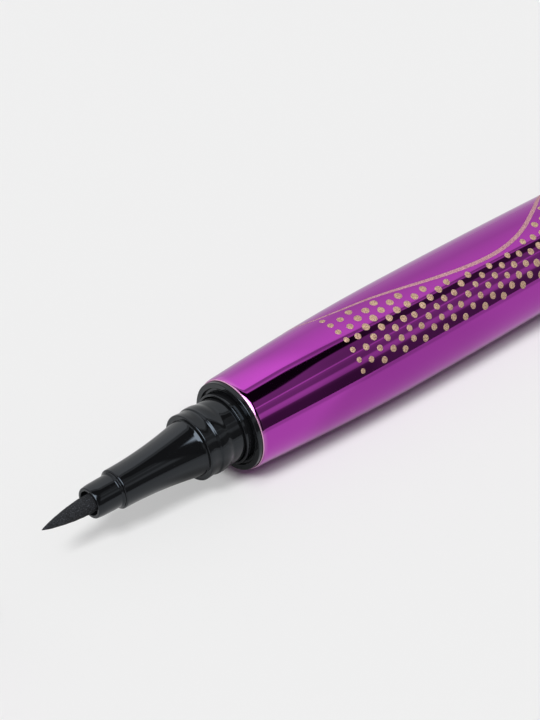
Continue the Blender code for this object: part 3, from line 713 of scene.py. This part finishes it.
# ---------------------------------------------------------------------------------------------------------
# Inner cap: the black plastic liner pressed into the cap, with the snap ring in its wide mouth, a narrow bay
# behind it for the cone, and the lip that stops the seal cup.
LINER_REAR, LINER_RADIUS, LINER_BORE = 38.7, 3.65, 3.25
LINER_MOUTH, LINER_STEP, LINER_MOUTH_RADIUS = 1.05, 6.5, 4.33
MOUTH_BORE, MOUTH_BORE_END = 3.88, 5.9
SNAP_START, SNAP_CREST, SNAP_END, SNAP_BORE = 1.81, 2.11, 2.41, 3.8
STOP_FRONT, STOP_REAR, STOP_BORE = 15.45, 16.05, 2.57
liner = turned(
    "cap_liner",
    [
        (LINER_REAR, LINER_BORE, 0),
        (LINER_REAR, LINER_RADIUS, 0),
        (LINER_STEP, LINER_RADIUS, 0),
        (LINER_STEP, LINER_MOUTH_RADIUS, 0),
        (LINER_MOUTH, LINER_MOUTH_RADIUS, 0.05),
        (LINER_MOUTH, MOUTH_BORE, 0.1),
        (SNAP_START, MOUTH_BORE, 0.1),
        (SNAP_CREST, SNAP_BORE, 0.15),
        (SNAP_END, MOUTH_BORE, 0.1),
        (MOUTH_BORE_END, MOUTH_BORE, 0.1),
        (MOUTH_BORE_END, LINER_BORE, 0.1),
        (STOP_FRONT, LINER_BORE, 0),
        (STOP_FRONT, STOP_BORE, 0.08),
        (STOP_REAR, STOP_BORE, 0),
        (STOP_REAR, LINER_BORE, 0),
    ],
    CAP_ZERO,
    -1,
)
glossy_black("liner_black", liner, gloss=0.3)
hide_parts("inner_cap")
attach(liner, "cap")

# ---------------------------------------------------------------------------------------------------------
# Seal cup: a soft grey cup that closes over the nozzle and keeps the nib wet. It slides in the liner, with
# a guide flange behind the lip and a stem at its back that stops on the cap's floor.
STEM_END, STEM_RADIUS = 37.2, 1.46
CUP_MOUTH, CUP_BACK, CUP_RADIUS = 15.0, 25.15, 2.42
GUIDE_FRONT, GUIDE_REAR, GUIDE_RADIUS = 16.15, 17.65, 3.1
NOZZLE_POCKET, NOZZLE_POCKET_END = 1.97, 18.55
NIB_POCKET, NIB_POCKET_END = 1.49, 24.25
seal = turned(
    "seal",
    [
        (STEM_END, 0, 0),
        (STEM_END, STEM_RADIUS, 0.1),
        (CUP_BACK, STEM_RADIUS, 0),
        (CUP_BACK, CUP_RADIUS, 0),
        (GUIDE_REAR, CUP_RADIUS, 0),
        (GUIDE_REAR, GUIDE_RADIUS, 0.1),
        (GUIDE_FRONT, GUIDE_RADIUS, 0.1),
        (GUIDE_FRONT, CUP_RADIUS, 0),
        (CUP_MOUTH, CUP_RADIUS, 0.15),
        (CUP_MOUTH, NOZZLE_POCKET, 0.15),
        (NOZZLE_POCKET_END, NOZZLE_POCKET, 0.1),
        (NOZZLE_POCKET_END, NIB_POCKET, 0.1),
        (NIB_POCKET_END, NIB_POCKET, 0.2),
        (NIB_POCKET_END, 0, 0),
    ],
    CAP_ZERO,
    -1,
    THIN_STEPS,
)
plain_moulding("seal_grey", seal, (0.38, 0.38, 0.39), (0.31, 0.31, 0.32), 0.45)
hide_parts("seal_cup")
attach(seal, "seal")

# ---------------------------------------------------------------------------------------------------------
# Seal spring: bright steel wire wound into a coil with closed ends. It sits round the seal's stem, between
# the back of the cup and the cap's floor, and shortens as the cup is pushed back.
SPRING_START, SPRING_END = 25.25, 38.7
SPRING_RADIUS, WIRE_RADIUS = 1.98, 0.22
SPRING_TURNS, END_PITCH = 11, 0.52
COIL_STEPS, WIRE_SIDES = 24, 10
first_centre, last_centre = SPRING_START + WIRE_RADIUS, SPRING_END - WIRE_RADIUS
open_pitch = (last_centre - first_centre - END_PITCH * 2) / (SPRING_TURNS - 2)
wire = bmesh.new()
wire_rings = []
for step in range(SPRING_TURNS * COIL_STEPS + 1):
    turns = step / COIL_STEPS
    closed_turns = min(turns, 1) + max(turns - SPRING_TURNS + 1, 0)
    station = first_centre + closed_turns * END_PITCH + (turns - closed_turns) * open_pitch
    angle = tau * turns
    ring = []
    for a in spread(0, tau, WIRE_SIDES + 1)[:-1]:
        radius = SPRING_RADIUS + WIRE_RADIUS * cos(a)
        x = CAP_ZERO - station + WIRE_RADIUS * sin(a)
        ring.append(wire.verts.new((x * MM, radius * cos(angle) * MM, radius * sin(angle) * MM)))
    wire_rings.append(ring)
for ring, following in zip(wire_rings, wire_rings[1:]):
    for i in range(WIRE_SIDES):
        j = (i + 1) % WIRE_SIDES
        wire.faces.new((ring[i], ring[j], following[j], following[i]))
wire.faces.new(wire_rings[0])
wire.faces.new(wire_rings[-1])
bmesh.ops.recalc_face_normals(wire, faces=wire.faces)
spring_mesh = bpy.data.meshes.new("spring_coil")
wire.to_mesh(spring_mesh)
wire.free()
spring_mesh.shade_smooth()
spring = bpy.data.objects.new("spring_coil", spring_mesh)
bpy.context.scene.collection.objects.link(spring)
plain_moulding("spring_steel", spring, (0.6, 0.6, 0.62), (0.5, 0.5, 0.52), 0.2, 0.2, Metallic=1.0)
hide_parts("seal_spring")
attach(spring, "cap")
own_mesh(spring)

# ---------------------------------------------------------------------------------------------------------
# Sheet: the pale paper that the pen lies on. It shows the same pale grey everywhere but in the shadow. The
# gloss mirrors it with painted shade: darker where it is far off, under the barrel's mouth, and from the
# barrel's belly on, with a little painted light further back.
SEEN_PALE, MIRRORED_PALE, BOUNCED_PALE = 0.86, 0.71, 0.5
# Painted shade and light for the mirrored paper, by place: FAR_SHARE far off, MOUTH_SHADE under the mouth,
# BELLY_SHADE from the belly on, and REAR_LIFT, a painted light, further back.
FAR_EDGE, NEAR_EDGE, FAR_SHARE = -0.08, -0.045, 0.73
MOUTH_SHADE, SHADE_SIDES, SHADE_REAR, SHADE_FRONT = 0.6, (0.004, 0.011), (0.003, -0.001), (-0.0095, -0.0055)
BELLY_SHADE, BELLY_SPAN = 0.2, (0.002, 0.008)
REAR_LIFT, REAR_SPAN = 0.08, (0.026, 0.036)
MIRROR_LEAN = 0.625
SHEET_SIZE = 6
FLOOR_LEVEL = -(MOUTH_RADIUS + BELLY_RISE) * MM
under_mouth = (-BARREL_LENGTH * MM, 0, FLOOR_LEVEL)
bpy.ops.mesh.primitive_grid_add(x_subdivisions=4, y_subdivisions=4, size=SHEET_SIZE, location=under_mouth)
sheet = bpy.context.object
sheet.name = "paper_sheet"
paper = Nodes(bpy.data.materials.new("paper"))
camera_ray = paper.node("LightPath", output="Is Camera Ray")
seen = paper.node("BsdfDiffuse", None, {"Color": (SEEN_PALE,) * 3})
# Painted shade in the mirrored paper, by place: darker far off, under the barrel's mouth and from its belly on.
near = paper.smooth(paper.place(1), FAR_EDGE, NEAR_EDGE)
under = 1 - paper.smooth(abs(paper.place(1)), *SHADE_SIDES)
ahead = paper.smooth(paper.place(0), *SHADE_REAR) * paper.smooth(paper.place(0), *SHADE_FRONT)
# A mirrored ray leaves the barrel across and towards the tail, so this is the station that mirrors a place.
station = paper.place(0) + paper.place(1) * MIRROR_LEAN
belly = paper.smooth(station, *BELLY_SPAN) * BELLY_SHADE - paper.smooth(station, *REAR_SPAN) * REAR_LIFT
# The painted light share of the mirrored paper. It mixes between a black diffuse, which is the painted shade, and the
# pale one.
painted_light = (FAR_SHARE + near * (1 - FAR_SHARE)) * (1 - under * ahead * MOUTH_SHADE) * (1 - belly)
painted_shade_black = paper.node("BsdfDiffuse", None, {"Color": (0, 0, 0)})
bright = paper.node("BsdfDiffuse", None, {"Color": (MIRRORED_PALE,) * 3})
mirrored = paper.node("MixShader", None, {0: painted_light, 1: painted_shade_black, 2: bright})
dim = paper.node("BsdfDiffuse", None, {"Color": (BOUNCED_PALE,) * 3})
bounced = paper.node("LightPath", output="Diffuse Depth")
unseen = paper.node("MixShader", None, {0: bounced, 1: mirrored, 2: dim})
shown = paper.node("MixShader", None, {0: camera_ray, 1: unseen, 2: seen})
paper.feed(paper.tree.nodes["Material Output"].inputs["Surface"], shown)
sheet.data.materials.append(paper.owner)

# ---------------------------------------------------------------------------------------------------------
# Studio: what the gloss mirrors. A direction is given by its share along the pen, towards the tail, and its
# angle round the pen, from the back wall over the top to the front. Walls and cards make the long bands,
# and an eight-sided softbox hangs overhead. The even light on matte things comes from two broad distant lamps.
AMBIENT = 0.16
BACKDROP = 0.863
GAP_LIGHT, BELOW_LIGHT = 0.01, 0.66
SOFTBOX_WAY, SOFTBOX_HALF, SOFTBOX_SLANT, SOFTBOX_LIGHT = (-0.286, 112.5), 26.7, 17.5, (5.7, 6.2, 6.7)
SOFTBOX_LENGTH, SOFTBOX_WIDTH, SOFTBOX_EDGE = 0.5, 0.97, (0.02, -0.06)
studio = Nodes(bpy.data.worlds.new("studio"))
bpy.context.scene.world = studio.owner
look = studio.node("TexCoord", output="Generated")
look_x, look_y, look_z = (studio.node("SeparateXYZ", None, {0: look}, axis) for axis in range(3))
turn = look_z.maths("ARCTAN2", look_z, look_y) * (180 / pi)
rear_bands = [
    (0, 0.86), (20, 0.82), (30, 0.9), (50, 1.02), (60, 1.07), (70, 1.12), (77.5, 1.1), (79, 0.33), (84, 0.42),
    (86, 0.62), (88.5, 0.7), (90, 0.006), (114, 0.006), (116, 0.25), (127.5, 0.225), (128.3, 0.65), (130, 0.65),
    (130.8, 0.3), (133, 0.3), (136, 0.25), (142, 0.235), (143, 0.25), (144.5, 0.5), (147, 0.56), (150, 0.53),
    (154.5, 0.42), (156.5, 0.13), (160, 0.085), (163, 0.07), (176, 0.065), (180, 0.065),
]  # fmt: skip
front_bands = [
    (0, 0.45), (40, 0.6), (62, 0.85), (75, 0.9), (80, 0.3), (90, 0.1), (140, 0.06), (148, 0.3), (158, 0.35),
    (164, 0.1), (180, 0.1),
]  # fmt: skip


def band(stops, angle):
    """The light of one part of the room by an angle round the pen, from (degrees, light) stops."""
    return studio.node("ValToRGB", {"stops": [(a / 180, light) for a, light in stops]}, {0: angle * (1 / 180)})


def aim(share, angle):
    """A direction as a vector, from its share along the pen and its angle round it in degrees."""
    across = sqrt(1 - share**2)
    return Vector((share, across * cos(radians(angle)), across * sin(radians(angle))))


# The long bands aren't straight. Up to SPLIT degrees round, those of the wall and its cards change their
# angle along the pen. Past it, the front edge of the dark gap is drawn in towards the tail.
SPLIT, SPLIT_SPAN = 100, (95, 105)
WALL_REACH, WALL_TURN, WALL_SLOPE, WALL_BEND = 0.18, 33, 22, 60
WALL_END, WALL_END_SLOPE = 0.44, 130
GAP_DRAW, GAP_DRAW_SPAN, GAP_EDGE_SPAN = 8, (0.415, 0.47), (118, 126)
tailward = (look_x + WALL_REACH).at_least(0)
wall_turn = (WALL_TURN - tailward * WALL_SLOPE - tailward * tailward * WALL_BEND).at_least(0)
wall_turn = wall_turn - (look_x - WALL_END).at_least(0) * WALL_END_SLOPE
gap_turn = studio.smooth(look_x, *GAP_DRAW_SPAN) * (1 - studio.smooth(turn, *GAP_EDGE_SPAN)) * GAP_DRAW
rear_turn = (turn + wall_turn).at_most(SPLIT) + (turn + gap_turn).at_least(SPLIT) - SPLIT
# The bands grow dimmer and hazier towards the tail. Past the split they start only at a slanting edge.
DIM, DIM_SPAN = 0.22, (0.44, 0.475)
WALL_DIM, WALL_DIM_SPAN = 0.12, (0.5, 0.54)
HAZE, HAZE_SPAN = 0.04, (0.495, 0.53)
EDGE_ANGLE, EDGE_SLANT, EDGE_SPAN = 112, 0.0029, (0.32, 0.36)
wall = 1 - studio.smooth(turn, *SPLIT_SPAN)
falloff = 1 - studio.smooth(look_x, *DIM_SPAN) * DIM - studio.smooth(look_x, *WALL_DIM_SPAN) * wall * WALL_DIM
haze = studio.smooth(look_x, *HAZE_SPAN) * HAZE
shown_band = wall.at_least(studio.smooth(look_x + (turn - EDGE_ANGLE) * EDGE_SLANT, *EDGE_SPAN)) * falloff
rear = studio.tint(shown_band, (GAP_LIGHT,) * 3, band(rear_bands, rear_turn))
rear = studio.node("VectorMath", {"operation": "ADD"}, {0: rear, 1: haze})
# What leans away from the tail, such as the cone and its steps, mirrors the other end of the room.
in_front = 1 - studio.smooth(look_x, -0.04, 0.04)
room = studio.tint(in_front, rear, band(front_bands, turn))
softbox_way = aim(*SOFTBOX_WAY)
along_pen = (Vector((1, 0, 0)) - softbox_way * softbox_way.x).normalized()
towards, first_part, second_part = (
    studio.node("VectorMath", {"operation": "DOT_PRODUCT"}, {0: look, 1: tuple(way)}, "Value")
    for way in (softbox_way, along_pen, softbox_way.cross(along_pen))
)
slant = radians(SOFTBOX_SLANT)
point_sides = abs(first_part) * cos(slant) + abs(second_part) * sin(slant)
long_sides = abs(first_part) * SOFTBOX_LENGTH + abs(second_part) * SOFTBOX_WIDTH
past_edge = point_sides.at_least(long_sides) - towards * tan(radians(SOFTBOX_HALF))
room = studio.tint(studio.smooth(past_edge, *SOFTBOX_EDGE), room, SOFTBOX_LIGHT)
below = studio.node("Math", {"operation": "LESS_THAN"}, {0: look_z, 1: 0.0})
room = studio.tint(below, room, (BELOW_LIGHT,) * 3)
# Only the first mirror sees this room. Matte things and later bounces get the even ambient light.
mirrored_once = studio.node("LightPath", output="Is Glossy Ray") - studio.node("LightPath", output="Diffuse Depth")
room = studio.tint(mirrored_once.at_least(0), (AMBIENT,) * 3, room)
room = studio.tint(studio.node("LightPath", output="Is Camera Ray"), room, (BACKDROP,) * 3)
studio.feed(studio.tree.nodes["Background"].inputs["Color"], room)

# Each lamp has its way as a share along the pen and an angle round it, its width in degrees, and the part of
# a white sheet's light that it gives. The overhead lamp shines through the thin front pieces, which keeps
# their shadow pale.
LAMPS = {"window": (-0.56, 107, 15, 0.36), "overhead": (-0.2, 113, 38, 0.49)}
for name, (share, angle, width, part) in LAMPS.items():
    lamp = bpy.data.objects.new(name, bpy.data.lights.new(name, "SUN"))
    bpy.context.scene.collection.objects.link(lamp)
    lamp.data.angle = radians(width)
    lamp.data.energy = pi * part / aim(share, angle).z
    lamp.rotation_euler = aim(share, angle).to_track_quat("Z", "Y").to_euler()
    lamp.visible_glossy = lamp.visible_camera = False
shading_pieces = bpy.data.collections.new("casts_overhead_shadow")
for piece in (barrel, collar, tail_plug, cap):
    shading_pieces.objects.link(piece)
bpy.data.objects["overhead"].light_linking.blocker_collection = shading_pieces

# ---------------------------------------------------------------------------------------------------------
# Camera: a long lens from the nib's side, above the pen, with the frame ending over the barrel's belly. It is
# placed by the depth and the pixel of the mouth's centre, in millimetres and pixels.
AZIMUTH, ELEVATION = radians(-41.85), radians(37.23)
MOUTH_DEPTH = 241.0
FOCAL_PIXELS = 2400.0
FRAME_WIDTH, FRAME_HEIGHT, SENSOR = 540, 720, 36.0
MOUTH_PIXEL = (231.1, 424.7)
mouth = Vector((-BARREL_LENGTH * MM, 0, 0))
back = Vector((sin(AZIMUTH) * cos(ELEVATION), -cos(AZIMUTH) * cos(ELEVATION), sin(ELEVATION)))
right = Vector((cos(AZIMUTH), sin(AZIMUTH), 0))
up = back.cross(right)
lateral = (FRAME_WIDTH / 2 - MOUTH_PIXEL[0]) / FOCAL_PIXELS * MOUTH_DEPTH
vertical = (MOUTH_PIXEL[1] - FRAME_HEIGHT / 2) / FOCAL_PIXELS * MOUTH_DEPTH
camera = bpy.data.objects.new("camera", bpy.data.cameras.new("camera"))
bpy.context.scene.collection.objects.link(camera)
camera.data.sensor_width = SENSOR
camera.data.lens = FOCAL_PIXELS / FRAME_HEIGHT * SENSOR
camera.data.clip_start, camera.data.clip_end = 0.01, 20
camera.location = mouth + (back * MOUTH_DEPTH + right * lateral + up * vertical) * MM
camera.rotation_euler = Matrix((right, up, back)).transposed().to_euler()
bpy.context.scene.camera = camera
bpy.context.scene.view_settings.view_transform = "Standard"
